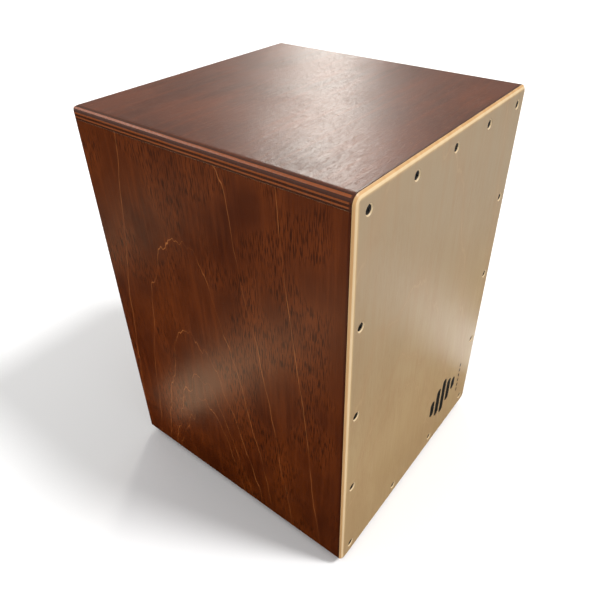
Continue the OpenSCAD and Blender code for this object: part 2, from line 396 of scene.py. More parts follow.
class Effect:
    """A shader node group with named inputs and outputs, built once and placed in many materials."""

    made: dict[str, bpy.types.NodeTree] = {}

    def __init__(self, name: str, inputs: dict[str, float], outputs: Sequence[str],
                 write: Callable[[Net, dict[str, Socket]], dict[str, Value]]) -> None:
        """Describes the group. It is built when it is first placed.

        Args:
            name: The group's name.
            inputs: Its number inputs and their defaults.
            outputs: Its number outputs.
            write: Writes its nodes and returns what goes into each output.
        """
        self.name, self.inputs, self.outputs, self.write = name, inputs, outputs, write

    def tree(self) -> bpy.types.NodeTree:
        """The group's tree, built on the first call.

        Returns:
            The tree.
        """
        if self.name not in Effect.made:
            tree = bpy.data.node_groups.new(self.name, "ShaderNodeTree")
            for key, value in self.inputs.items():
                tree.interface.new_socket(key, in_out="INPUT", socket_type="NodeSocketFloat").default_value = value
            for key in self.outputs:
                tree.interface.new_socket(key, in_out="OUTPUT", socket_type="NodeSocketFloat")
            net = Net(tree)
            source, sink = net.put("NodeGroupInput"), net.put("NodeGroupOutput")
            results = self.write(net, {key: source.outputs[key] for key in self.inputs})
            for key in self.outputs:
                net.feed(sink.inputs[key], results[key])
            Effect.made[self.name] = tree
        return Effect.made[self.name]

    def place(self, net: Net, **values: Value) -> dict[str, Socket]:
        """Puts the group into a material.

        Args:
            net: The material's tree.
            **values: Its inputs, with _ for a space.

        Returns:
            Its outputs by name.
        """
        node = net.put("ShaderNodeGroup", node_tree=self.tree())
        for key, value in values.items():
            net.feed(node.inputs[key.replace("_", " ")], value)
        return {key: node.outputs[key] for key in self.outputs}


# Shares of the sheet's thickness where a layer with long grain, or a glue line, starts (1) and ends (0).
LONG_LAYERS = ((0.0, 0.0), (0.10, 1.0), (0.24, 0.0), (0.43, 1.0), (0.56, 0.0), (0.72, 1.0), (0.84, 0.0))
GLUE_LINES = ((0.0, 0.0), (0.08, 1.0), (0.105, 0.0), (0.235, 1.0), (0.26, 0.0), (0.42, 1.0), (0.44, 0.0),
              (0.565, 1.0), (0.585, 0.0), (0.70, 1.0), (0.72, 0.0))


def _write_ply(net: Net, get: dict[str, Socket]) -> dict[str, Value]:
    """Layers of a sheet of ply by depth: veneer, cross layers and glue lines.

    Args:
        net: The group's tree.
        get: The group's inputs by name.

    Returns:
        What goes into each output.
    """
    sway = net.noise(net.join(net.times(get["U"], 0.02), net.times(get["V"], 0.02), 4.0))
    depth = net.plus(get["Depth"], net.times(net.less(sway, 0.5), 0.5))
    share = net.math("DIVIDE", depth, get["Thickness"], clamp=True)
    flat = net.over(get["Depth"], get["Thickness"])
    return {
        "Face": net.span(depth, 0.55, 0.3),
        "Back": net.span(flat, 0.985, 0.993),
        "Long": net.steps(share, LONG_LAYERS),
        "Glue": net.steps(share, GLUE_LINES),
    }


def _write_figure(net: Net, get: dict[str, Socket]) -> dict[str, Value]:
    """Fine streaks, short dark flecks, pores and slow blotches of rotary-cut birch, in mm along and across.

    Args:
        net: The group's tree.
        get: The group's inputs by name.

    Returns:
        What goes into each output.
    """
    across, along, seed = get["U"], get["V"], get["Seed"]

    def field_at(u: float, v: float, shift: float, **how: float) -> Socket:
        """Noise with its own length along and across the grain."""
        return net.grain((across, along, net.plus(seed, shift)), (u, v), **how)

    streak = field_at(0.9, 45.0, 1.0, detail=3.0, roughness=0.6)
    wide = field_at(7.0, 120.0, 7.0, detail=2.0)
    blotch = field_at(60.0, 110.0, 13.0, detail=2.0, distortion=0.4)
    fleck = field_at(1.05, 13.0, 21.0, detail=1.0, distortion=0.3)
    zone = field_at(70.0, 80.0, 34.0, detail=1.0)
    pore = field_at(0.6, 7.0, 43.0, detail=0.0)
    coarse = field_at(0.8, 12.0, 51.0, detail=1.0)
    return {
        "Streak": streak,
        "Wide": wide,
        "Blotch": net.span(blotch, 0.32, 0.68),
        "Fleck": net.times(net.span(fleck, 0.49, 0.62), net.span(zone, 0.44, 0.56)),
        "Zone": net.span(zone, 0.38, 0.6),
        "Pore": net.span(pore, 0.60, 0.70),
        "Coarse": coarse,
    }


def _write_rings(net: Net, get: dict[str, Socket]) -> dict[str, Value]:
    """Thin growth lines that arch over a heart and run down beside it, wider apart the further out.

    Args:
        net: The group's tree.
        get: The group's inputs by name.

    Returns:
        What goes into each output.
    """
    across = net.less(get["U"], get["Heart U"])
    jag = net.grain((get["U"], get["V"], get["Seed"]), (24.0, 130.0), detail=3.0, roughness=0.46)
    drift = net.grain((get["U"], get["V"], net.plus(get["Seed"], 9.0)), (90.0, 160.0), detail=1.0)
    lift = net.times(net.times(across, across), get["Arch"])
    height = net.plus(net.less(get["V"], get["Heart V"]), lift)
    height = net.plus(height, net.times(net.less(jag, 0.5), get["Jag"]))
    height = net.plus(height, net.times(net.less(drift, 0.5), get["Drift"]))
    height = net.math("MAXIMUM", height, net.times(get["Core"], 0.8))
    level = net.math("LOGARITHM", net.over(height, get["Core"]), get["Ratio"])
    place = net.math("FRACT", net.plus(level, 20.5))
    away = net.math("ABSOLUTE", net.less(place, 0.5))
    slope = net.times(net.times(across, get["Arch"]), 2.0)
    slope = net.math("SQRT", net.plus(net.times(slope, slope), 1.2))
    reach = net.over(net.times(height, 0.6), slope)
    distance = net.times(away, reach)
    fade = net.grain((get["U"], get["V"], net.plus(get["Seed"], 3.0)), (30.0, 45.0), detail=1.0)
    line = net.span(distance, get["Width"], net.times(get["Width"], 0.2))
    halo = net.span(distance, net.times(get["Width"], 9.0), 0.0)
    return {
        "Line": net.times(line, net.span(fade, 0.34, 0.60, 0.14, 1.0)),
        "Halo": halo,
    }


def _write_marks(net: Net, get: dict[str, Socket]) -> dict[str, Value]:
    """Handling marks: a few pale dings, faint rubbed patches and settled dust specks.

    Args:
        net: The group's tree.
        get: The group's inputs by name.

    Returns:
        What goes into each output.
    """
    where = net.join(get["U"], get["V"], get["W"])

    def at(scale: float) -> Socket:
        """The place times a scale.

        Args:
            scale: The scale.

        Returns:
            The scaled place.
        """
        node = net.put("ShaderNodeVectorMath", operation="SCALE")
        net.feed(node.inputs[0], where)
        node.inputs[3].default_value = scale
        return node.outputs[0]

    distance, pick = net.cells(at(0.026))
    size = net.times(net.span(pick, 0.72, 1.0), 0.024)
    ding = net.math("LESS_THAN", distance, net.times(size, get["Amount"]))
    near, lot = net.cells(at(0.16))
    dust = net.math("LESS_THAN", near, net.times(net.span(lot, 0.8, 1.0), 0.05))
    rub = net.span(net.noise(at(0.012), detail=4.0, roughness=0.6), 0.45, 0.7)
    return {"Ding": ding, "Dust": dust, "Rub": rub}


PLY = Effect("ply_layers", {"U": 0.0, "V": 0.0, "Depth": 0.0, "Thickness": 12.0},
             ("Face", "Back", "Long", "Glue"), _write_ply)
FIGURE = Effect("birch_figure", {"U": 0.0, "V": 0.0, "Seed": 0.0},
                ("Streak", "Wide", "Blotch", "Fleck", "Zone", "Pore", "Coarse"), _write_figure)
RINGS = Effect("growth_lines", {"U": 0.0, "V": 0.0, "Heart U": 0.0, "Heart V": 0.0, "Arch": 0.035, "Core": 45.0,
                                "Ratio": 1.82, "Jag": 100.0, "Drift": 60.0, "Width": 0.36, "Seed": 0.0},
               ("Line", "Halo"), _write_rings)
MARKS = Effect("handling_marks", {"U": 0.0, "V": 0.0, "W": 0.0, "Amount": 1.0}, ("Ding", "Dust", "Rub"), _write_marks)


@dataclass(frozen=True)
class Board:
    """How a board lies in the frame: the axis across its grain, along it, and its depth from the show face."""

    across: Axis
    along: Axis
    deep: Axis
    face: float
    inward: float
    thickness: float

    def read(self, net: Net) -> tuple[Socket, Socket, Socket]:
        """Board coordinates in mm.

        Args:
            net: The material's tree.

        Returns:
            Across the grain, along it, and depth below the show face.
        """
        spots = net.spot()
        across = net.times(spots[self.across.value], TO_MM)
        along = net.times(spots[self.along.value], TO_MM)
        depth = net.less(spots[self.deep.value], self.face)
        return across, along, net.times(depth, TO_MM * self.inward)


class Finish:
    """A finish of this object: writes one procedural material."""

    name: str

    def write(self, net: Net) -> dict[str, Union[Value, Colour]]:
        """Writes the finish's nodes.

        Args:
            net: The material's tree.

        Returns:
            What goes into each input of the Principled BSDF.
        """
        raise NotImplementedError

    def material(self) -> bpy.types.Material:
        """The material, made once for each different finish.

        Returns:
            The material.
        """
        made = bpy.data.materials.get(self.name)
        if made is None:
            made, net = empty_material(self.name)
            shader = net.put("ShaderNodeBsdfPrincipled")
            for key, value in self.write(net).items():
                net.feed(shader.inputs[key], value)
            net.feed(net.put("ShaderNodeOutputMaterial").inputs["Surface"], shader.outputs[0])
        return made


@dataclass(frozen=True)
class Stain:
    """Colours of the stained veneer, of its ply edge and of the bare back."""

    deep: Colour = tone(68, 23, 1)
    body: Colour = tone(88, 36, 3)
    warm: Colour = tone(132, 60, 8)
    line: Colour = tone(178, 108, 52)
    fleck: Colour = tone(36, 9, 1)
    edge_pale: Colour = tone(140, 68, 14)
    edge_dark: Colour = tone(70, 29, 7)
    edge_glue: Colour = tone(40, 13, 4)
    ding: Colour = tone(214, 170, 132)
    bare: Colour = tone(206, 172, 124)
    bare_warm: Colour = tone(188, 148, 98)
    bare_streak: Colour = tone(168, 126, 80)


# How far behind the tapa the painted shade along its joint starts, and where it is darkest, in metres.
SEAM_SHADE_START, SEAM_SHADE_DARKEST = 0.0026, 0.0014


@dataclass(frozen=True)
class StainedPly(Finish):
    """Brown stained birch ply with its layers showing wherever the sheet is cut or rounded."""

    name: str
    board: Board
    heart: tuple[float, float]
    seed: float
    stain: Stain = Stain()
    figure: float = 1.0
    gloss: float = 0.34
    relief: float = 0.00003
    shine: float = 0.16
    pores: float = 0.0
    # Where the tapa's back lies; the panel gets painted shade along that joint.
    seam: Optional[float] = None

    def write(self, net: Net) -> dict[str, Union[Value, Colour]]:
        """Writes the stain, its figure, the ply edge, the bare inside and painted shade along the joint behind the
        tapa.

        Args:
            net: The material's tree.

        Returns:
            What goes into each input of the Principled BSDF.
        """
        u, v, depth = self.board.read(net)
        ply = PLY.place(net, U=u, V=v, Depth=depth, Thickness=self.board.thickness)
        wood = FIGURE.place(net, U=u, V=v, Seed=self.seed)
        rings = RINGS.place(net, U=u, V=v, Heart_U=self.heart[0], Heart_V=self.heart[1], Seed=self.seed)
        marks = MARKS.place(net, U=u, V=v, W=depth, Amount=1.0)
        stain = self.stain
        face = net.mix(wood["Blotch"], stain.deep, stain.body)
        face = net.tint(net.span(wood["Wide"], 0.45, 0.7), 0.20, face, stain.warm)
        face = net.tint(rings["Halo"], 0.08 * self.figure, face, stain.warm)
        face = net.tint(net.span(wood["Streak"], 0.5, 0.75), 0.15, face, stain.warm)
        face = net.tint(net.span(wood["Streak"], 0.48, 0.25), 0.28, face, stain.deep)
        face = net.tint(wood["Zone"], 0.26 * self.figure, face, stain.warm)
        face = net.tint(wood["Fleck"], 0.74 * self.figure, face, stain.fleck)
        face = net.tint(rings["Line"], 0.80 * self.figure, face, stain.line)
        if self.pores:
            face = net.tint(wood["Pore"], self.pores, face, stain.line)
        grain = net.grain((u, v, depth), (2.5, 9.0), detail=2.0)
        pale = net.mix(net.span(grain, 0.35, 0.65), stain.edge_pale, stain.warm)
        pale = net.mix(0.6, pale, stain.edge_pale)
        edge = net.mix(ply["Long"], stain.edge_dark, pale)
        edge = net.mix(ply["Glue"], edge, stain.edge_glue)
        colour = net.mix(ply["Face"], edge, face)
        colour = net.tint(marks["Ding"], 0.8, colour, stain.ding)
        bare = net.mix(net.span(wood["Wide"], 0.35, 0.7), stain.bare, stain.bare_warm)
        bare = net.tint(wood["Streak"], 0.3, bare, stain.bare_streak)
        colour = net.mix(ply["Back"], colour, bare)
        # Painted shade: the stain is darkened towards the joint behind the tapa, where shade falls in the groove.
        if self.seam is not None:
            front = net.spot()[1]
            near = net.span(front, self.seam + SEAM_SHADE_START, self.seam + SEAM_SHADE_DARKEST)
            colour = net.tint(near, 0.9, colour, stain.deep)
        rough = net.span(wood["Streak"], 0.3, 0.7, self.gloss - 0.03, self.gloss + 0.05)
        rough = net.plus(rough, net.times(marks["Rub"], 0.05))
        rough = net.plus(rough, net.times(ply["Back"], 0.3))
        height = net.less(wood["Coarse"], net.times(wood["Pore"], 0.4))
        height = net.plus(height, net.times(wood["Streak"], 0.3))
        height = net.plus(height, net.times(ply["Long"], 0.6))
        return {"Base Color": colour, "Roughness": rough, "Normal": net.bump(height, self.relief),
                "IOR": 1.5, "Specular IOR Level": self.shine}


@dataclass(frozen=True)
class Bar:
    """One rounded bar of the printed emblem: its middle and half sizes in metres, seen from the front."""

    x: float
    z: float
    half_x: float
    half_z: float


@dataclass(frozen=True)
class Birch:
    """Colours of the tapa's lacquered veneer and its painted shade towards the top, of its cut layers and of the
    emblem's ink.
    """

    base: Colour = tone(165, 137, 97)
    cloud: Colour = tone(171, 144, 104)
    # Painted shade: a greyer, darker veneer colour for the tapa's top.
    high: Colour = tone(153, 132, 104)
    wide: Colour = tone(156, 122, 86)
    halo: Colour = tone(160, 124, 88)
    line: Colour = tone(196, 168, 128)
    streak: Colour = tone(156, 120, 80)
    fleck: Colour = tone(134, 96, 60)
    edge: Colour = tone(206, 170, 122)
    edge_wide: Colour = tone(192, 152, 102)
    rim: Colour = tone(222, 198, 158)
    cross: Colour = tone(196, 140, 84)
    back: Colour = tone(150, 96, 52)
    ding: Colour = tone(240, 222, 190)
    ink: Colour = tone(30, 29, 27)


# Where the tapa's sanded edge starts and ends, in metres from its sides, and its layers in the holes, in mm of depth.
SANDED = (0.0062, 0.0022)
TOP_VENEER = ((0.05, 0.25), (1.2, 1.0))
CROSS_LAYER = ((1.15, 1.3), (2.5, 2.35))
BACK_VENEER = (3.2, 3.45)
INK_DEPTH = (0.1, 0.05)


@dataclass(frozen=True)
class TapaPly(Finish):
    """Pale lacquered birch: the thin playing face, with a paler sanded edge, painted shade towards its top and a
    plain printed emblem.
    """

    name: str
    board: Board
    box: tuple[Vector, Vector]
    bars: tuple[Bar, ...]
    seed: float = 5.0
    birch: Birch = Birch()

    def _print(self, net: Net, x: Socket, z: Socket) -> Socket:
        """Mask of the emblem.

        Args:
            net: The material's tree.
            x: Place across the tapa in metres.
            z: Place up the tapa in metres.

        Returns:
            1 where ink lies.
        """
        ink: Value = 0.0
        for bar in self.bars:
            radius = min(bar.half_x, bar.half_z)
            dx = net.less(net.math("ABSOLUTE", net.less(x, bar.x)), bar.half_x - radius)
            dz = net.less(net.math("ABSOLUTE", net.less(z, bar.z)), bar.half_z - radius)
            dx, dz = net.math("MAXIMUM", dx, 0.0), net.math("MAXIMUM", dz, 0.0)
            away = net.math("SQRT", net.plus(net.times(dx, dx), net.times(dz, dz)))
            ink = net.math("MAXIMUM", ink, net.span(away, radius + 0.0001, radius - 0.0001))
        return ink

    def write(self, net: Net) -> dict[str, Union[Value, Colour]]:
        """Writes the pale veneer with painted shade towards the top, its worn edge, the cut layers in the holes and
        the emblem.

        Args:
            net: The material's tree.

        Returns:
            What goes into each input of the Principled BSDF.
        """
        u, v, depth = self.board.read(net)
        wood = FIGURE.place(net, U=u, V=v, Seed=self.seed)
        rings = RINGS.place(net, U=u, V=v, Heart_U=-60.0, Heart_V=120.0, Arch=0.012, Core=60.0, Jag=90.0,
                            Drift=120.0, Width=1.6, Seed=self.seed)
        marks = MARKS.place(net, U=u, V=v, W=depth, Amount=0.8)
        x, _, z = net.spot()
        low, high = self.box
        birch = self.birch
        face = net.mix(wood["Blotch"], birch.base, birch.cloud)
        # Painted shade: the veneer is mixed towards a greyer, darker colour up towards the tapa's top.
        face = net.mix(net.span(z, low[2] + 0.08, high[2] - 0.04, 0.0, 0.8), face, birch.high)
        face = net.tint(net.span(wood["Wide"], 0.4, 0.75), 0.3, face, birch.wide)
        face = net.tint(rings["Halo"], 0.22, face, birch.halo)
        face = net.tint(rings["Line"], 0.16, face, birch.line)
        face = net.tint(net.span(wood["Streak"], 0.5, 0.75), 0.16, face, birch.streak)
        face = net.tint(wood["Fleck"], 0.14, face, birch.fleck)
        edge_x = net.math("MINIMUM", net.less(x, low[0]), net.less(high[0], x))
        edge_z = net.math("MINIMUM", net.less(z, low[2]), net.less(high[2], z))
        edge = net.span(net.math("MINIMUM", edge_x, edge_z), *SANDED)
        cut = net.mix(net.span(wood["Wide"], 0.35, 0.65), birch.edge, birch.edge_wide)
        face = net.mix(edge, face, cut)
        rim = net.times(*(net.span(depth, *side) for side in TOP_VENEER))
        face = net.tint(rim, 0.7, face, birch.rim)
        cross = net.times(*(net.span(depth, *side) for side in CROSS_LAYER))
        face = net.tint(cross, 0.4, face, birch.cross)
        face = net.mix(net.span(depth, *BACK_VENEER), face, birch.back)
        face = net.tint(marks["Ding"], 0.5, face, birch.ding)
        ink = net.times(self._print(net, x, z), net.span(depth, *INK_DEPTH))
        colour = net.mix(ink, face, birch.ink)
        rough = net.span(wood["Streak"], 0.3, 0.7, 0.36, 0.44)
        rough = net.plus(rough, net.times(ink, 0.08))
        height = net.plus(net.times(wood["Streak"], 0.5), net.times(ink, 0.6))
        return {"Base Color": colour, "Roughness": rough, "Normal": net.bump(height, 0.00002),
                "IOR": 1.5, "Specular IOR Level": 0.45}


@dataclass(frozen=True)
class RawPine(Finish):
    """Planed pine with straight grain along one axis, as inside the box."""

    name: str
    along: Axis
    pale: Colour = tone(226, 190, 136)
    dark: Colour = tone(196, 148, 90)
    fibre: Colour = tone(184, 136, 82)
    rubbed: Colour = tone(236, 206, 158)
    pith: tuple[float, float] = (400.0, 40.0)
    ring: float = 3.4

    def write(self, net: Net) -> dict[str, Union[Value, Colour]]:
        """Writes straight growth rings, fine fibres and rubbed patches.

        Args:
            net: The material's tree.

        Returns:
            What goes into each input of the Principled BSDF.
        """
        spots = net.spot(TO_MM)
        u, w = (spots[axis.value] for axis in Axis if axis is not self.along)
        v = spots[self.along.value]
        wood = FIGURE.place(net, U=u, V=v, Seed=17.0)
        wander = net.grain((u, v, w), (25.0, 180.0, 25.0))
        radius = net.math("SQRT", net.plus(net.math("POWER", net.plus(u, self.pith[0]), 2.0),
                                           net.math("POWER", net.plus(w, self.pith[1]), 2.0)))
        rings = net.math("FRACT", net.plus(net.over(radius, self.ring), net.times(wander, 2.2)))
        late = net.times(net.span(rings, 0.45, 0.92), net.span(rings, 1.0, 0.94))
        colour = net.tint(late, 0.75, self.pale, self.dark)
        colour = net.tint(wood["Streak"], 0.25, colour, self.fibre)
        marks = MARKS.place(net, U=u, V=v, W=w, Amount=1.4)
        colour = net.tint(marks["Rub"], 0.2, colour, self.rubbed)
        rough = net.span(late, 0.0, 1.0, 0.68, 0.55)
        height = net.plus(net.times(late, 0.5), wood["Streak"])
        return {"Base Color": colour, "Roughness": rough, "Normal": net.bump(height, 0.00006)}


@dataclass(frozen=True)
class Steel(Finish):
    """Steel under black oxide, zinc or nickel: clean in places, duller in cloudy patches."""

    name: str
    clean: Colour
    dull: Colour
    metal: float
    gloss: float

    def write(self, net: Net) -> dict[str, Union[Value, Colour]]:
        """Writes cloudy plating, fine scratches and wear.

        Args:
            net: The material's tree.

        Returns:
            What goes into each input of the Principled BSDF.
        """
        u, v, w = net.spot(TO_MM)
        fine = {key: net.times(spot, 6.0) for key, spot in zip("UVW", (u, v, w))}
        marks = MARKS.place(net, Amount=1.0, **fine)
        scratch = net.noise(net.join(net.times(u, 4.0), net.times(v, 0.7), w), detail=3.0)
        colour = net.mix(marks["Rub"], self.clean, self.dull)
        rough = net.plus(net.span(scratch, 0.3, 0.7, self.gloss - 0.05, self.gloss + 0.09),
                         net.times(marks["Rub"], 0.1))
        metal = net.span(scratch, 0.2, 0.8, self.metal, max(0.0, self.metal - 0.08))
        return {"Base Color": colour, "Roughness": rough, "Metallic": metal, "Normal": net.bump(scratch, 0.00001)}


@dataclass(frozen=True)
class Rubber(Finish):
    """Dark moulded rubber, fine grained, with dust on it."""

    name: str
    base: Colour = tone(38, 36, 35)

    def write(self, net: Net) -> dict[str, Union[Value, Colour]]:
        """Writes the moulded grain, scuffs and dust.

        Args:
            net: The material's tree.

        Returns:
            What goes into each input of the Principled BSDF.
        """
        u, v, w = net.spot(TO_MM)
        fine = net.noise(net.join(net.times(u, 2.4), net.times(v, 2.4), net.times(w, 2.4)),
                         detail=3.0)
        marks = MARKS.place(net, U=net.times(u, 4.0), V=net.times(v, 4.0),
                            W=net.times(w, 4.0), Amount=1.0)
        colour = net.tint(marks["Rub"], 0.45, self.base, tone(74, 70, 66))
        colour = net.tint(marks["Dust"], 0.5, colour, tone(140, 134, 126))
        rough = net.span(fine, 0.3, 0.7, 0.62, 0.8)
        return {"Base Color": colour, "Roughness": rough, "Normal": net.bump(fine, 0.0001, 0.6)}


# --------------------------------------------------------------------------------------------------
# Meshes
# --------------------------------------------------------------------------------------------------


ARRIS_ANGLE = math.radians(32.0)
ARRIS_FACES = 2


def add_object(name: str, mesh: bpy.types.Mesh) -> bpy.types.Object:
    """Puts a mesh into the scene at the origin.

    Args:
        name: The piece's name.
        mesh: Its mesh, already in place.

    Returns:
        The object.
    """
    piece = bpy.data.objects.new(name, mesh)
    bpy.context.scene.collection.objects.link(piece)
    return piece


def keep(shape: bmesh.types.BMesh, name: str, outward: bool = True) -> bpy.types.Mesh:
    """Turns a shape being built into a mesh.

    Args:
        shape: The shape, freed afterwards.
        name: The mesh's name.
        outward: Whether its normals are turned outward first.

    Returns:
        The mesh.
    """
    if outward:
        bmesh.ops.recalc_face_normals(shape, faces=shape.faces)
    mesh = bpy.data.meshes.new(name)
    shape.to_mesh(mesh)
    shape.free()
    return mesh


def soften(piece: bpy.types.Object, width: float) -> None:
    """Breaks the sharp arrises of a piece and shades it smoothly between them.

    Args:
        piece: The piece.
        width: Width of the broken arris in metres.
    """
    for face in piece.data.polygons:
        face.use_smooth = True
    bevel = piece.modifiers.new("arris", "BEVEL")
    bevel.width, bevel.segments = width, ARRIS_FACES
    bevel.limit_method, bevel.angle_limit = "ANGLE", ARRIS_ANGLE
    bevel.harden_normals = False
    normals = piece.modifiers.new("normals", "WEIGHTED_NORMAL")
    normals.keep_sharp = True


def dress(piece: bpy.types.Object, finish: Finish, nodes: Sequence[str]) -> bpy.types.Object:
    """Gives a piece its finish and says which CAD nodes it stands for.

    Args:
        piece: The piece, in place.
        finish: Its finish.
        nodes: The CAD nodes.

    Returns:
        The piece.
    """
    if not piece.data.materials:
        piece.data.materials.append(finish.material())
    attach(piece, BODY)
    if nodes:
        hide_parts(*nodes)
    log.info("%s: %d faces, stands for %s", piece.name, len(piece.data.polygons), ", ".join(nodes))
    return piece


def board_copy(node: str, name: str, width: float) -> bpy.types.Object:
    """A clean copy of a CAD node: whole faces instead of loose triangles, with broken arrises.

    Args:
        node: The CAD node.
        name: The new piece's name.
        width: Width of the broken arris in metres.

    Returns:
        The new piece.
    """
    shape = bmesh.new()
    shape.from_mesh(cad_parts[node].data)
    bmesh.ops.remove_doubles(shape, verts=shape.verts, dist=WELD)
    bmesh.ops.dissolve_limit(shape, angle_limit=math.radians(0.5), verts=shape.verts, edges=shape.edges)
    piece = add_object(name, keep(shape, name, outward=False))
    soften(piece, width)
    return piece


def lathe(name: str, profile: Sequence[tuple[float, float]], steps: int) -> bpy.types.Mesh:
    """Turns a closed profile about Z.

    Args:
        name: The mesh's name.
        profile: Points as (radius, height), going round the section; radius 0 closes onto the axis.
        steps: Faces round the axis.

    Returns:
        A closed mesh.
    """
    shape = bmesh.new()
    rings = []
    for radius, height in profile:
        if radius <= 0:
            rings.append([shape.verts.new((0.0, 0.0, height))])
        else:
            angles = [2 * math.pi * i / steps for i in range(steps)]
            rings.append([shape.verts.new((radius * math.cos(a), radius * math.sin(a), height)) for a in angles])
    pairs = list(zip(rings, rings[1:]))
    if profile[0][0] > 0 and profile[-1][0] > 0:
        pairs.append((rings[-1], rings[0]))
    for one, two in pairs:
        for i in range(steps):
            j = (i + 1) % steps
            corners = [one[i % len(one)], one[j % len(one)], two[j % len(two)], two[i % len(two)]]
            kept = [c for k, c in enumerate(corners) if c not in corners[:k]]
            if len(kept) > 2:
                shape.faces.new(kept)
    return keep(shape, name)


class Grow:
    """Writes one Geometry Nodes tree and runs it on a bed of points."""

    def __init__(self, name: str) -> None:
        """Starts a tree that takes the bed's points and gives a mesh.

        Args:
            name: The tree's name.
        """
        self.tree = bpy.data.node_groups.new(name, "GeometryNodeTree")
        self.tree.interface.new_socket("Geometry", in_out="INPUT", socket_type="NodeSocketGeometry")
        self.tree.interface.new_socket("Geometry", in_out="OUTPUT", socket_type="NodeSocketGeometry")
        self.source = self.tree.nodes.new("NodeGroupInput")
        self.sink = self.tree.nodes.new("NodeGroupOutput")
        self.names: dict[str, str] = {}

    def size(self, name: str, value: object, kind: str = "NodeSocketFloat") -> Socket:
        """Adds a named input.

        Args:
            name: The input's name.
            value: Its default.
            kind: Its socket type.

        Returns:
            The socket that gives it inside the tree.
        """
        made = self.tree.interface.new_socket(name, in_out="INPUT", socket_type=kind)
        if value is not None:
            made.default_value = value
        self.names[name] = made.identifier
        return self.source.outputs[name]

    def put(self, kind: str, inputs: Optional[dict[object, object]] = None, **settings: object) -> bpy.types.Node:
        """Adds a node.

        Args:
            kind: The node's type.
            inputs: What goes into its inputs, by name or place.
            **settings: Properties to set on it.

        Returns:
            The node.
        """
        node = self.tree.nodes.new(kind)
        for key, value in settings.items():
            setattr(node, key, value)
        for key, value in (inputs or {}).items():
            if isinstance(value, Socket):
                self.tree.links.new(value, node.inputs[key])
            else:
                node.inputs[key].default_value = value
        return node

    def math(self, operation: str, *values: Value) -> Socket:
        """One sum on numbers: the operation and what goes into it."""
        return self.put("ShaderNodeMath", dict(enumerate(values)), operation=operation).outputs[0]

    def join(self, x: Value = 0.0, y: Value = 0.0, z: Value = 0.0) -> Socket:
        """Makes a vector out of three numbers."""
        return self.put("ShaderNodeCombineXYZ", {0: x, 1: y, 2: z}).outputs[0]

    def shape_of(self, item: Socket) -> Socket:
        """The mesh of an object input."""
        return self.put("GeometryNodeObjectInfo", {"Object": item}, transform_space="ORIGINAL").outputs["Geometry"]

    def moved(self, shape: Socket, way: Socket) -> Socket:
        """A shape moved by a vector."""
        return self.put("GeometryNodeTransform", {"Geometry": shape, "Translation": way}).outputs[0]

    def close(self, shape: Socket, finish: Finish) -> None:
        """Ends the tree: makes the instances real, joins their seams and paints them.

        Args:
            shape: The geometry to keep.
            finish: Its finish.
        """
        real = self.put("GeometryNodeRealizeInstances", {0: shape})
        merged = self.put("GeometryNodeMergeByDistance", {"Geometry": real.outputs[0], "Distance": SEAM_WELD})
        painted = self.put("GeometryNodeSetMaterial", {"Geometry": merged.outputs[0]})
        painted.inputs["Material"].default_value = finish.material()
        self.tree.links.new(painted.outputs[0], self.sink.inputs[0])

    def run(self, name: str, points: Sequence[Sequence[float]], values: Optional[dict[str, object]] = None,
            crease: float = 35.0) -> bpy.types.Object:
        """Runs the tree on a bed of points and keeps the plain mesh.

        Args:
            name: The piece's name.
            points: The bed's points in metres.
            values: Named inputs to set before it is evaluated.
            crease: Edges sharper than this many degrees stay sharp.

        Returns:
            The piece, at the origin.
        """
        bed = bpy.data.meshes.new(name + "_bed")
        bed.from_pydata([tuple(p) for p in points], [], [])
        holder = add_object(name + "_bed", bed)
        grow = holder.modifiers.new("grow", "NODES")
        grow.node_group = self.tree
        for key, value in (values or {}).items():
            grow[self.names[key]] = value
        bpy.context.view_layer.update()
        graph = bpy.context.evaluated_depsgraph_get()
        mesh = bpy.data.meshes.new_from_object(holder.evaluated_get(graph))
        mesh.name = name
        holder.modifiers.remove(grow)
        bpy.data.objects.remove(holder)
        for face in mesh.polygons:
            face.use_smooth = True
        mesh.set_sharp_from_angle(angle=math.radians(crease))
        return add_object(name, mesh)


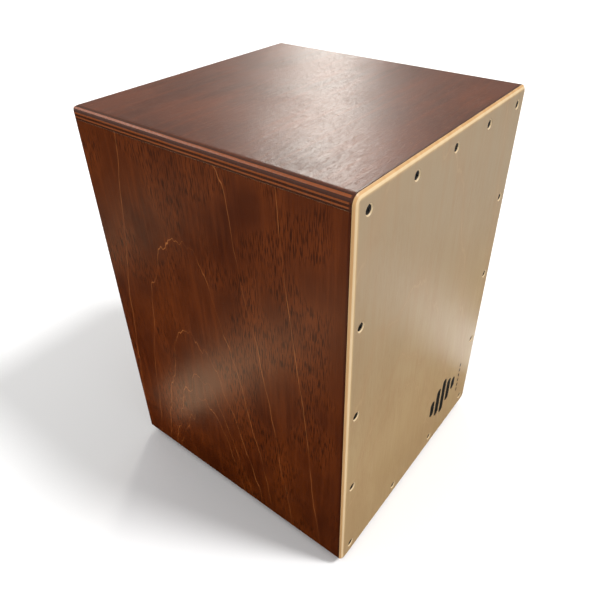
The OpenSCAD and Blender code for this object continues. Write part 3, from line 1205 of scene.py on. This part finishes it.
def copies_tree(finish: Finish, recess: bool) -> Grow:
    """A tree that sets a copy of a blank on each point, with or without a cross recess in its top.

    Args:
        finish: The finish of the copies.
        recess: Whether a cross recess is cut into the blank first.

    Returns:
        The tree.
    """
    grow = Grow("recessed_copies" if recess else "plain_copies")
    blank = grow.size("Blank", None, "NodeSocketObject")
    turn = grow.size("Turn", (0.0, 0.0, 0.0), "NodeSocketVector")
    seed = grow.size("Spin Seed", 3, "NodeSocketInt")
    shape = grow.shape_of(blank)
    if recess:
        span, width = grow.size("Recess Span", 0.0048), grow.size("Recess Width", 0.0011)
        depth = grow.size("Recess Depth", 0.0014)
        high = grow.size("Head Top", 0.0)
        deep = grow.math("MULTIPLY", depth, 2.0)
        lift = grow.join(z=high)
        cutters = []
        for across, along in ((span, width), (width, span)):
            size = grow.join(across, along, deep)
            wing = grow.put("GeometryNodeMeshCube", {"Size": size}).outputs["Mesh"]
            cutters.append(grow.moved(wing, lift))
        wide = grow.math("MULTIPLY", span, 0.27)
        core = grow.put("GeometryNodeMeshCone", {"Vertices": 16, "Radius Top": wide, "Radius Bottom": 0.0001,
                                                 "Depth": deep}).outputs["Mesh"]
        sink = grow.math("MULTIPLY_ADD", depth, -1.1, high)
        drop_to = grow.join(z=sink)
        cutters.append(grow.moved(core, drop_to))
        cut = grow.put("GeometryNodeMeshBoolean", {"Mesh 1": shape}, operation="DIFFERENCE", solver="EXACT")
        for cutter in cutters:
            grow.tree.links.new(cutter, cut.inputs["Mesh 2"])
        shape = cut.outputs[0]
    spin = grow.put("FunctionNodeRandomValue", {"Seed": seed}, data_type="FLOAT")
    spin.inputs[2].default_value, spin.inputs[3].default_value = 0.0, 2 * math.pi
    round_z = grow.join(z=spin.outputs[1])
    first = grow.put("FunctionNodeEulerToRotation", {0: turn}).outputs[0]
    second = grow.put("FunctionNodeEulerToRotation", {0: round_z}).outputs[0]
    both = grow.put("FunctionNodeRotateRotation", {0: first, 1: second}, rotation_space="LOCAL").outputs[0]
    spread = grow.put("GeometryNodeInstanceOnPoints", {"Points": grow.source.outputs["Geometry"], "Instance": shape,
                                                       "Rotation": both})
    grow.close(spread.outputs[0], finish)
    return grow


def holes_tree(finish: Finish) -> Grow:
    """A tree that cuts a hole in a plate at each point.

    Args:
        finish: The plate's finish.

    Returns:
        The tree.
    """
    grow = Grow("drilled_plate")
    plate = grow.size("Plate", None, "NodeSocketObject")
    cutter = grow.size("Cutter", None, "NodeSocketObject")
    board = grow.shape_of(plate)
    drill = grow.shape_of(cutter)
    spread = grow.put("GeometryNodeInstanceOnPoints", {"Points": grow.source.outputs["Geometry"], "Instance": drill})
    real = grow.put("GeometryNodeRealizeInstances", {0: spread.outputs[0]})
    cut = grow.put("GeometryNodeMeshBoolean", {"Mesh 1": board}, operation="DIFFERENCE", solver="EXACT")
    grow.tree.links.new(real.outputs[0], cut.inputs["Mesh 2"])
    grow.close(cut.outputs[0], finish)
    return grow


def coil_tree(finish: Finish) -> Grow:
    """A tree that winds an upright coil of wire on each point.

    Args:
        finish: The wire's finish.

    Returns:
        The tree.
    """
    grow = Grow("snare_coils")
    across = grow.size("Coil Diameter", 0.002)
    wire = grow.size("Wire Diameter", 0.00036)
    pitch = grow.size("Pitch", 0.0012)
    length = grow.size("Length", 0.112)
    steps = grow.size("Steps per Turn", 10, "NodeSocketInt")
    inner = grow.math("SUBTRACT", across, wire)
    radius = grow.math("MULTIPLY", inner, 0.5)
    thin = grow.math("MULTIPLY", wire, 0.5)
    rise = grow.math("SUBTRACT", length, wire)
    turns = grow.math("DIVIDE", rise, pitch)
    spiral = grow.put("GeometryNodeCurveSpiral", {"Resolution": steps, "Rotations": turns, "Start Radius": radius,
                                                  "End Radius": radius, "Height": rise}).outputs[0]
    up = grow.join(z=thin)
    spiral = grow.moved(spiral, up)
    ring = grow.put("GeometryNodeCurvePrimitiveCircle", {"Resolution": 5, "Radius": thin}).outputs[0]
    tube = grow.put("GeometryNodeCurveToMesh", {"Curve": spiral, "Profile Curve": ring, "Fill Caps": True}).outputs[0]
    spread = grow.put("GeometryNodeInstanceOnPoints", {"Points": grow.source.outputs["Geometry"], "Instance": tube})
    grow.close(spread.outputs[0], finish)
    return grow


def solids(node: str) -> list[tuple[Vector, Vector]]:
    """The box of each separate solid in a CAD node, in order of height and then of place across.

    Args:
        node: The CAD node.

    Returns:
        Pairs of lowest and highest corner.
    """
    shape = bmesh.new()
    shape.from_mesh(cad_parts[node].data)
    bmesh.ops.remove_doubles(shape, verts=shape.verts, dist=WELD)
    left, boxes = set(shape.verts), []
    while left:
        queue, seen = [left.pop()], []
        while queue:
            vert = queue.pop()
            seen.append(vert.co.copy())
            for edge in vert.link_edges:
                other = edge.other_vert(vert)
                if other in left:
                    left.remove(other)
                    queue.append(other)
        boxes.append((Vector([min(c[i] for c in seen) for i in range(3)]),
                      Vector([max(c[i] for c in seen) for i in range(3)])))
    shape.free()
    return sorted(boxes, key=lambda b: (round(b[0][2], 4), round(b[0][0], 4), round(b[0][1], 4)))


def round_plate(name: str, low: Vector, high: Vector, corner: float,
                profile: Sequence[tuple[float, float]], steps: int) -> bpy.types.Mesh:
    """A plate facing -Y with round corners and a shaped edge.

    Args:
        name: The mesh's name.
        low: Its lowest corner.
        high: Its highest corner.
        corner: Radius of its four corners.
        profile: Its edge from the front face to the rear as (inset from the side, depth from the front).
        steps: Faces round each corner.

    Returns:
        A closed mesh.
    """
    shape = bmesh.new()
    rings = []
    for inset, depth in profile:
        ring = []
        for k, (sx, sz) in enumerate(((1, 1), (-1, 1), (-1, -1), (1, -1))):
            cx = (high[0] - corner) if sx > 0 else (low[0] + corner)
            cz = (high[2] - corner) if sz > 0 else (low[2] + corner)
            for i in range(steps + 1):
                angle = math.pi / 2 * (k + i / steps)
                ring.append(shape.verts.new((cx + (corner - inset) * math.cos(angle), low[1] + depth,
                                             cz + (corner - inset) * math.sin(angle))))
        rings.append(ring)
    for one, two in zip(rings, rings[1:]):
        for i in range(len(one)):
            j = (i + 1) % len(one)
            shape.faces.new((one[i], one[j], two[j], two[i]))
    shape.faces.new(rings[0])
    shape.faces.new(rings[-1])
    return keep(shape, name)


def underside(box: tuple[Vector, Vector]) -> Spot:
    """The middle of a box's underside."""
    low, high = box
    return (low[0] + high[0]) / 2, (low[1] + high[1]) / 2, low[2]


def drop(*objects: bpy.types.Object) -> None:
    """Removes helper objects.

    Args:
        *objects: The objects.
    """
    for item in objects:
        bpy.data.objects.remove(item)


# --------------------------------------------------------------------------------------------------
# Sub-assemblies
# --------------------------------------------------------------------------------------------------


@dataclass
class Carcass:
    """The stained box: top, bottom, two sides and the rear with its sound hole. The tapa's back is at seam, and the
    panels beside it get painted shade there.
    """

    seam: float
    arris: float = 0.00025
    heart_left: tuple[float, float] = (36.0, 87.0)
    heart_right: tuple[float, float] = (-30.0, 60.0)

    def build(self) -> list[bpy.types.Object]:
        """Makes the five panels.

        Returns:
            The pieces.
        """
        made = []
        for node, finish in self.finishes().items():
            piece = board_copy(node, node.replace("_panel", "_board"), self.arris)
            made.append(dress(piece, finish, [node]))
        return made

    def finishes(self) -> dict[str, StainedPly]:
        """The finish of each panel, with its own figure.

        Returns:
            Finishes by CAD node.
        """
        def sheet(node: str, across: Axis, along: Axis, deep: Axis, outward: float) -> Board:
            """How a panel's sheet lies, from its box."""
            low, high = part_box(node)
            face = (high if outward > 0 else low)[deep.value]
            return Board(across, along, deep, face, -outward, TO_MM * (high[deep.value] - low[deep.value]))

        seam = self.seam
        return {
            "top_panel": StainedPly("stained_top", sheet("top_panel", Axis.Y, Axis.X, Axis.Z, 1.0), (0.0, -900.0),
                                    2.0, Stain(body=tone(88, 38, 14)), figure=0.2, gloss=0.33, relief=0.00014,
                                    shine=0.55, pores=0.1, seam=seam),
            "bottom_panel": StainedPly("stained_bottom", sheet("bottom_panel", Axis.Y, Axis.X, Axis.Z, -1.0),
                                       (40.0, -300.0), 8.0, figure=0.6, seam=seam),
            "left_side_panel": StainedPly("stained_left", sheet("left_side_panel", Axis.Y, Axis.Z, Axis.X, -1.0),
                                          self.heart_left, 11.0, seam=seam),
            "right_side_panel": StainedPly("stained_right", sheet("right_side_panel", Axis.Y, Axis.Z, Axis.X, 1.0),
                                           self.heart_right, 23.0, figure=0.8, seam=seam),
            "rear_panel": StainedPly("stained_rear", sheet("rear_panel", Axis.X, Axis.Z, Axis.Y, 1.0),
                                     (-50.0, 40.0), 31.0, figure=0.8),
        }


@dataclass
class Tapa:
    """The playing face: a thin plate with a round front edge, holes for its screws and an emblem."""

    corner: float = 0.008
    nose: float = 0.006
    land: float = 0.0002
    bevel: float = 0.0006
    sink: float = 0.001
    mouth: float = 0.0041
    shank: float = 0.0021

    def build(self) -> list[bpy.types.Object]:
        """Makes the plate and drills it.

        Returns:
            The piece.
        """
        low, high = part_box("tapa")
        thick = high[1] - low[1]
        board = Board(Axis.X, Axis.Z, Axis.Y, low[1], 1.0, TO_MM * thick)
        finish = TapaPly("tapa_birch", board, (low, high), emblem())
        reach = thick - self.bevel - self.land
        width = math.sqrt(2 * self.nose * reach - reach * reach)
        steps = 8
        profile = [(width * (1 - i / steps), self.nose - math.sqrt(self.nose ** 2 - (width * i / steps) ** 2))
                   for i in range(steps + 1)]
        profile += [(0.0, reach + self.land), (self.bevel, thick)]
        plate = add_object("plate_blank", round_plate("plate_blank", low, high, self.corner, profile, 10))
        cutter = add_object("hole_cutter", self.cutter(thick))
        spots = [((a[0] + b[0]) / 2, low[1], (a[2] + b[2]) / 2) for a, b in solids("tapa_screws")]
        piece = holes_tree(finish).run("tapa_plate", spots, {"Plate": plate, "Cutter": cutter})
        drop(plate, cutter)
        return [dress(piece, finish, ["tapa"])]

    def cutter(self, thick: float) -> bpy.types.Mesh:
        """The shape of one countersunk hole, from in front of the plate to behind it.

        Args:
            thick: The plate's thickness.

        Returns:
            A closed mesh with its mouth towards -Y.
        """
        over = 0.001
        lip = self.mouth + self.sink
        profile = [(0.0, over), (lip + over, over), (lip, 0.0), (self.mouth, -self.sink),
                   (self.shank, -self.sink - self.mouth + self.shank), (self.shank, -thick - over),
                   (0.0, -thick - over)]
        mesh = lathe("hole_cutter", profile, 40)
        mesh.transform(Matrix.Rotation(math.radians(90), 4, "X"))
        return mesh


def emblem() -> tuple[Bar, ...]:
    """A plain printed emblem at the tapa's lower right: five upright bars and a short column of dots.

    Returns:
        Its bars.
    """
    middle, level, pitch, half = 0.071, 0.079, 0.0145, 0.0051
    heights = (0.013, 0.023, 0.029, 0.019, 0.010)
    bars = [Bar(middle + (i - 2) * pitch, level, half, tall) for i, tall in enumerate(heights)]
    dot_x, first_dot, dot_pitch, dot_half_x, dot_half_z = 0.1185, 0.052, 0.009, 0.0016, 0.0030
    dots = [Bar(dot_x, first_dot + dot_pitch * i, dot_half_x, dot_half_z) for i in range(6)]
    return tuple(bars + dots)


@dataclass(frozen=True)
class ScrewSize:
    """Sizes of one kind of screw, in metres."""

    head: float
    rise: float
    shank: float
    length: float
    sunk: bool
    point: float = 0.003

    def profile(self) -> list[tuple[float, float]]:
        """Half section of the screw: the head's top is at 0, or its underside for a pan head.

        Returns:
            Points as (radius, height).
        """
        r, s = self.head / 2, self.shank / 2
        if self.sunk:
            top = [(0.0, 0.0), (r - 0.00025, 0.0), (r - 0.00005, -0.00008), (r, -0.00025), (s, -self.rise)]
        else:
            top = [(0.0, self.rise), (0.62 * r, self.rise * 0.97), (0.88 * r, self.rise * 0.75),
                   (r, self.rise * 0.35), (r, 0.00002), (r - 0.00004, 0.0), (s, 0.0)]
        ridge, pitch = 0.0003, 0.0015
        low = -(self.length - self.point)
        start = top[-1][1] - 0.002
        count = int((start - low) / pitch)
        thread: list[tuple[float, float]] = []
        for i in range(count):
            z = start - i * pitch
            thread += [(s - ridge, z), (s - ridge, z - 0.45 * pitch), (s, z - 0.72 * pitch),
                       (s - ridge, z - 0.98 * pitch)]
        return top + thread + [(s - ridge, low), (0.0, -self.length)]


@dataclass
class Screws:
    """Every screw of the drum and the washers in its feet."""

    steps: int = 32

    def build(self) -> list[bpy.types.Object]:
        """Makes the screws, one piece for each CAD node.

        Returns:
            The pieces.
        """
        black = Steel("black_oxide", tone(20, 20, 21), tone(38, 35, 33), 0.35, 0.45)
        zinc = Steel("zinc_plate", tone(196, 196, 190), tone(150, 150, 148), 0.9, 0.3)
        front, down = (math.radians(90), 0.0, 0.0), (math.radians(180), 0.0, 0.0)
        made = []
        for finish, slot, jobs in (
            (black, Slot.BLACK, [("tapa_screws", ScrewSize(0.008, 0.002, 0.004, 0.018, True), front)]),
            (zinc, Slot.ZINC, [("rail_screws", ScrewSize(0.008, 0.002, 0.004, 0.033, True), down),
                               ("snare_screws", ScrewSize(0.0056, 0.0014, 0.003, 0.011, False), front),
                               ("foot_screws", ScrewSize(0.0075, 0.0018, 0.004, 0.0144, False), down)]),
        ):
            tree = copies_tree(finish, recess=True)
            for node, size, turn in jobs:
                blank = add_object(node + "_blank", lathe(node + "_blank", size.profile(), self.steps))
                values = {"Blank": blank, "Turn": turn, "Recess Span": 0.6 * size.head, "Recess Depth": 0.0013,
                          "Recess Width": 0.13 * size.head, "Head Top": 0.0 if size.sunk else size.rise}
                piece = tree.run(node.replace("_screws", "_screw_set"), self.spots(node, size, turn), values)
                drop(blank)
                made.append(dress(piece, finish, [node]))
        made.append(self.washers(zinc))
        return made

    def spots(self, node: str, size: ScrewSize, turn: Spot) -> list[Spot]:
        """Where each screw's zero point lies, from its CAD solid.

        Args:
            node: The CAD node.
            size: The screw's sizes.
            turn: Which way it faces.

        Returns:
            The points.
        """
        over = 0.0 if size.sunk else size.rise
        if turn[0] > math.radians(100):
            return [((a[0] + b[0]) / 2, (a[1] + b[1]) / 2, a[2] + over) for a, b in solids(node)]
        return [((a[0] + b[0]) / 2, a[1] + over, (a[2] + b[2]) / 2) for a, b in solids(node)]

    def washers(self, finish: Finish) -> bpy.types.Object:
        """The washers under the foot screws.

        Args:
            finish: Their finish.

        Returns:
            The piece.
        """
        boxes = solids("foot_washers")
        low, high = boxes[0]
        thick, outer, inner, soft = high[2] - low[2], (high[0] - low[0]) / 2, 0.0021, 0.00015
        profile = [(inner + soft, 0.0), (outer - soft, 0.0), (outer, soft), (outer, thick - soft),
                   (outer - soft, thick), (inner + soft, thick), (inner, thick - soft), (inner, soft)]
        blank = add_object("washer_blank", lathe("washer_blank", profile, 40))
        spots = [underside(box) for box in boxes]
        piece = copies_tree(finish, recess=False).run("foot_washer_set", spots, {"Blank": blank})
        drop(blank)
        return dress(piece, finish, ["foot_washers"])


@dataclass
class Timber:
    """The battens behind the tapa, the corner strips, the snare rail and its cleats."""

    arris: float = 0.0006

    def build(self) -> list[bpy.types.Object]:
        """Makes the timber, each piece with its own grain direction.

        Returns:
            The pieces.
        """
        runs = {
            Axis.X: ["front_top_batten", "front_bottom_batten", "snare_rail"],
            Axis.Y: ["top_left_corner_strip", "top_right_corner_strip", "bottom_left_corner_strip",
                     "bottom_right_corner_strip"],
            Axis.Z: ["front_left_batten", "front_right_batten", "left_rail_cleat", "right_rail_cleat"],
        }
        made = []
        for axis, nodes in runs.items():
            finish = RawPine("raw_pine_" + axis.name.lower(), axis)
            made += [dress(board_copy(n, n + "_wood", self.arris), finish, [n]) for n in nodes]
        return made


@dataclass
class Snare:
    """Two sets of coiled strands on steel plates, brazed at their lower ends."""

    wire: float = 0.00036
    pitch: float = 0.00118
    bead: float = 0.0011

    def build(self) -> list[bpy.types.Object]:
        """Makes the plates, the strands and the beads of braze.

        Returns:
            The pieces.
        """
        plate = Steel("snare_plate", tone(188, 188, 186), tone(142, 140, 136), 0.9, 0.34)
        steel = Steel("snare_wire", tone(182, 182, 184), tone(132, 130, 128), 0.95, 0.26)
        braze = Steel("braze", tone(196, 168, 112), tone(120, 92, 58), 0.85, 0.4)
        coils, beads = coil_tree(steel), copies_tree(braze, recess=False)
        blank = add_object("bead_blank", self.bead_mesh())
        made = []
        for side in ("left", "right"):
            made.append(dress(board_copy(side + "_snare_plate", side + "_plate", 0.00015), plate,
                              [side + "_snare_plate"]))
            node = side + "_snare_wires"
            boxes = solids(node)
            feet = [underside(box) for box in boxes]
            values = {"Coil Diameter": boxes[0][1][0] - boxes[0][0][0], "Length": boxes[0][1][2] - boxes[0][0][2],
                      "Wire Diameter": self.wire, "Pitch": self.pitch}
            made.append(dress(coils.run(side + "_strands", feet, values, crease=180.0), steel, [node]))
            spots = [(x, y + 0.0007, z + 0.0035 * k + 0.0012) for x, y, z in feet for k in (0, 1, 2)]
            made.append(dress(beads.run(side + "_braze", spots, {"Blank": blank}), braze, []))
        drop(blank)
        return made

    def bead_mesh(self) -> bpy.types.Mesh:
        """One bead of braze: a flattened drop.

        Returns:
            A closed mesh around the origin.
        """
        r = self.bead
        flat, angles = 0.8, (0.5, 1.0, 1.6, 2.2, 2.7)
        flank = [(r * math.sin(a), r * flat * math.cos(a)) for a in angles]
        return lathe("bead_blank", [(0.0, r), *flank, (0.0, -r * flat)], 10)


@dataclass
class Feet:
    """Four moulded rubber feet with a pocket for the washer."""

    steps: int = 56

    def build(self) -> list[bpy.types.Object]:
        """Makes one piece for each foot.

        Returns:
            The pieces.
        """
        rubber = Rubber("foot_rubber")
        tree = copies_tree(rubber, recess=False)
        blank = add_object("foot_blank", lathe("foot_blank", self.profile(), self.steps))
        made = []
        for node in ("front_left_foot", "front_right_foot", "rear_left_foot", "rear_right_foot"):
            piece = tree.run(node + "_rubber", [underside(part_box(node))], {"Blank": blank}, crease=50.0)
            made.append(dress(piece, rubber, [node]))
        drop(blank)
        return made

    def profile(self) -> list[tuple[float, float]]:
        """Half section of a foot, from its pocket's mouth up the outside and back down the bore.

        Returns:
            Points as (radius, height).
        """
        low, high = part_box("front_left_foot")
        top, outer = high[2] - low[2], (high[0] - low[0]) / 2
        rim, soft, pocket, seat, bore = outer - 0.002, 0.0015, 0.007, 0.0038, 0.0021
        angles = (0.0, 0.4, 0.8, 1.2, math.pi / 2)
        arc = [(rim - soft + soft * math.sin(a), soft - soft * math.cos(a)) for a in angles]
        flank = [(rim + (outer - rim) * t, soft + (top - soft) * t) for t in (0.25, 0.5, 0.75)]
        return [(pocket + 0.0004, 0.0), *arc, *flank, (outer, top - 0.0003), (outer - 0.0003, top), (bore, top),
                (bore, seat), (pocket - 0.0003, seat), (pocket, seat - 0.0003), (pocket, 0.0004)]


# --------------------------------------------------------------------------------------------------
# Studio
# --------------------------------------------------------------------------------------------------


def hang(name: str, data: bpy.types.ID) -> bpy.types.Object:
    """Puts a lamp or a camera into the scene."""
    holder = bpy.data.objects.new(name, data)
    bpy.context.scene.collection.objects.link(holder)
    return holder


def panel_lamp(name: str, long: float, wide: float, power: float, colour: Colour) -> bpy.types.Object:
    """Puts a rectangular lamp into the scene, which the camera does not see.

    Args:
        name: The lamp's name.
        long: Its length in metres.
        wide: Its width in metres.
        power: Its power in watts.
        colour: Its colour.

    Returns:
        The lamp's object.
    """
    lamp = bpy.data.lights.new(name, "AREA")
    lamp.shape, lamp.size, lamp.size_y = "RECTANGLE", long, wide
    lamp.energy, lamp.color = power, colour
    holder = hang(name, lamp)
    holder.visible_camera = False
    return holder


@dataclass(frozen=True)
class Softbox:
    """A soft rectangular light."""

    name: str
    place: Spot
    aim: Spot
    size: tuple[float, float]
    power: float
    colour: Colour = (1.0, 1.0, 1.0)

    def hang(self) -> None:
        """Hangs the light."""
        holder = panel_lamp(self.name, *self.size, self.power, self.colour)
        holder.location = self.place
        holder.rotation_mode = "QUATERNION"
        holder.rotation_quaternion = (Vector(self.place) - Vector(self.aim)).to_track_quat("Z", "Y")


@dataclass(frozen=True)
class Daylight:
    """Soft light from one side, equally strong everywhere."""

    name: str
    source: Spot
    spread: float
    strength: float

    def hang(self) -> None:
        """Hangs the light."""
        lamp = bpy.data.lights.new(self.name, "SUN")
        lamp.energy, lamp.angle = self.strength, self.spread
        holder = hang(self.name, lamp)
        holder.rotation_mode = "QUATERNION"
        holder.rotation_quaternion = Vector(self.source).to_track_quat("Z", "Y")


GLOW_HEIGHT = 0.002


@dataclass(frozen=True)
class Glow:
    """A low soft panel lying on the floor, facing up: it gives the faces a soft slanting sheen."""

    name: str
    start: tuple[float, float]
    end: tuple[float, float]
    width: float
    bright: float
    colour: Colour = (1.0, 1.0, 1.0)

    def hang(self) -> None:
        """Lays the panel down."""
        run = Vector(self.end) - Vector(self.start)
        power = self.bright * math.pi * run.length * self.width
        holder = panel_lamp(self.name, run.length, self.width, power, self.colour)
        middle = (Vector(self.start) + Vector(self.end)) / 2
        turn = Matrix.Rotation(math.atan2(run[1], run[0]), 4, "Z") @ Matrix.Rotation(math.pi, 4, "X")
        holder.matrix_world = Matrix.Translation((middle[0], middle[1], GLOW_HEIGHT)) @ turn


# What the camera sees of the floor and the sky, and what mirror rays see of them.
FLOOR_SEEN, FLOOR_MIRRORED = (0.9, 0.9, 0.9), (0.008, 0.006, 0.004)
SKY_SEEN, SKY_MIRRORED = (1.0, 1.0, 1.0), (1.0, 0.93, 0.84)


@dataclass
class Studio:
    """Plain pale floor, soft light and the camera."""

    lens: float = 34.194
    place: Spot = (-0.44216, -0.34223, 0.62843)
    right: Spot = (0.60962878, -0.792588, -0.01253076)
    up: Spot = (0.46108553, 0.34170243, 0.81892587)
    back: Spot = (-0.64478903, -0.50501853, 0.57376249)
    shift: tuple[float, float] = (-0.0107, -0.0355)
    reach: float = 12.0

    def build(self) -> None:
        """Makes the floor, the lights and the camera."""
        self.floor()
        self.sky()
        for light in (
            Daylight("key", (0.259, -0.56, 0.788), 0.22, 2.5),
            Softbox("window", (2.05, 1.43, 1.37), (0.0, 0.0, 0.45), (0.36, 1.4), 6.4, (1.0, 0.97, 0.90)),
            Softbox("window_head", (1.85, 1.36, 1.76), (0.0, 0.0, 0.45), (0.42, 0.5), 9.0, (1.0, 0.96, 0.88)),
            Softbox("rear_left", (-0.95, 1.95, 1.85), (0.0, 0.0, 0.3), (1.0, 0.7), 10.0),
            Glow("left_sheen", (-0.215, 0.18), (-0.56, 0.065), 0.08, 3.1, (1.0, 0.72, 0.46)),
            Glow("far_sheen", (-0.38, 0.58), (-0.70, 0.74), 0.15, 1.6, (0.92, 0.82, 0.56)),
            Glow("front_sheen", (0.43, -0.50), (0.25, -0.17), 0.10, 1.6, (0.92, 0.97, 1.0)),
            Glow("underside", (-0.13, 0.0), (0.13, 0.0), 0.26, 0.3),
            Glow("far_right_sheen", (0.5, -0.62), (2.2, -0.8), 0.6, 0.6, (0.70, 0.87, 1.0)),
        ):
            light.hang()
        camera = bpy.data.cameras.new("camera")
        camera.sensor_width, camera.lens = 36.0, self.lens
        camera.shift_x, camera.shift_y = self.shift
        camera.clip_start, camera.clip_end = 0.01, 60.0
        holder = hang("camera", camera)
        turn = Matrix((self.right, self.up, self.back)).transposed().to_4x4()
        holder.matrix_world = Matrix.Translation(self.place) @ turn
        bpy.context.scene.camera = holder

    def floor(self) -> None:
        """A wide pale floor that can be seen through from below, so that the underside can be looked at."""
        mesh = bpy.data.meshes.new("floor")
        r = self.reach
        mesh.from_pydata([(-r, -r, 0), (r, -r, 0), (r, r, 0), (-r, r, 0)], [], [(0, 1, 2, 3)])
        piece = add_object("floor", mesh)
        made, net = empty_material("pale_floor")
        matt = net.put("ShaderNodeBsdfDiffuse")
        path = net.put("ShaderNodeLightPath")
        net.feed(matt.inputs["Color"], net.mix(path.outputs["Is Glossy Ray"], FLOOR_SEEN, FLOOR_MIRRORED))
        clear, pick = net.put("ShaderNodeBsdfTransparent"), net.put("ShaderNodeMixShader")
        net.feed(pick.inputs[0], net.put("ShaderNodeNewGeometry").outputs["Backfacing"])
        net.feed(pick.inputs[1], matt.outputs[0])
        net.feed(pick.inputs[2], clear.outputs[0])
        net.feed(net.put("ShaderNodeOutputMaterial").inputs["Surface"], pick.outputs[0])
        mesh.materials.append(made)
        piece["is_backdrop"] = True

    def sky(self) -> None:
        """White light from all round, dimmer in reflections."""
        world = bpy.data.worlds.new("studio")
        bpy.context.scene.world = world
        world.use_nodes = True
        net = Net(world.node_tree)
        back = world.node_tree.nodes["Background"]
        path = net.put("ShaderNodeLightPath")
        seen = net.span(path.outputs["Is Camera Ray"], 0.0, 1.0, 0.64, 1.0)
        high = net.split(net.put("ShaderNodeTexCoord").outputs["Generated"])[2]
        dim = net.span(high, 0.02, 0.22, 0.63, 0.23)
        net.feed(back.inputs[0], net.mix(path.outputs["Is Glossy Ray"], SKY_SEEN, SKY_MIRRORED))
        net.feed(back.inputs[1], net.less(seen, net.times(path.outputs["Is Glossy Ray"], dim)))
        bpy.context.scene.view_settings.view_transform = "Standard"


def corners() -> list[list[float]]:
    """The shown object's box as plain lists."""
    return [[float(c) for c in corner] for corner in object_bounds()]


def main() -> None:
    """Builds the cajon's looks in order."""
    logging.basicConfig(level=logging.INFO, format="%(name)s %(message)s")
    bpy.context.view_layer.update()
    pieces: list[bpy.types.Object] = []
    for part in (Carcass(seam=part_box("tapa")[1][1]), Tapa(), Screws(), Timber(), Snare(), Feet()):
        made = part.build()
        pieces += made
        log.info("%s: %d pieces", type(part).__name__, len(made))
    Studio().build()
    log.info("%d pieces in all", len(pieces))


if __name__ == "__main__":
    main()
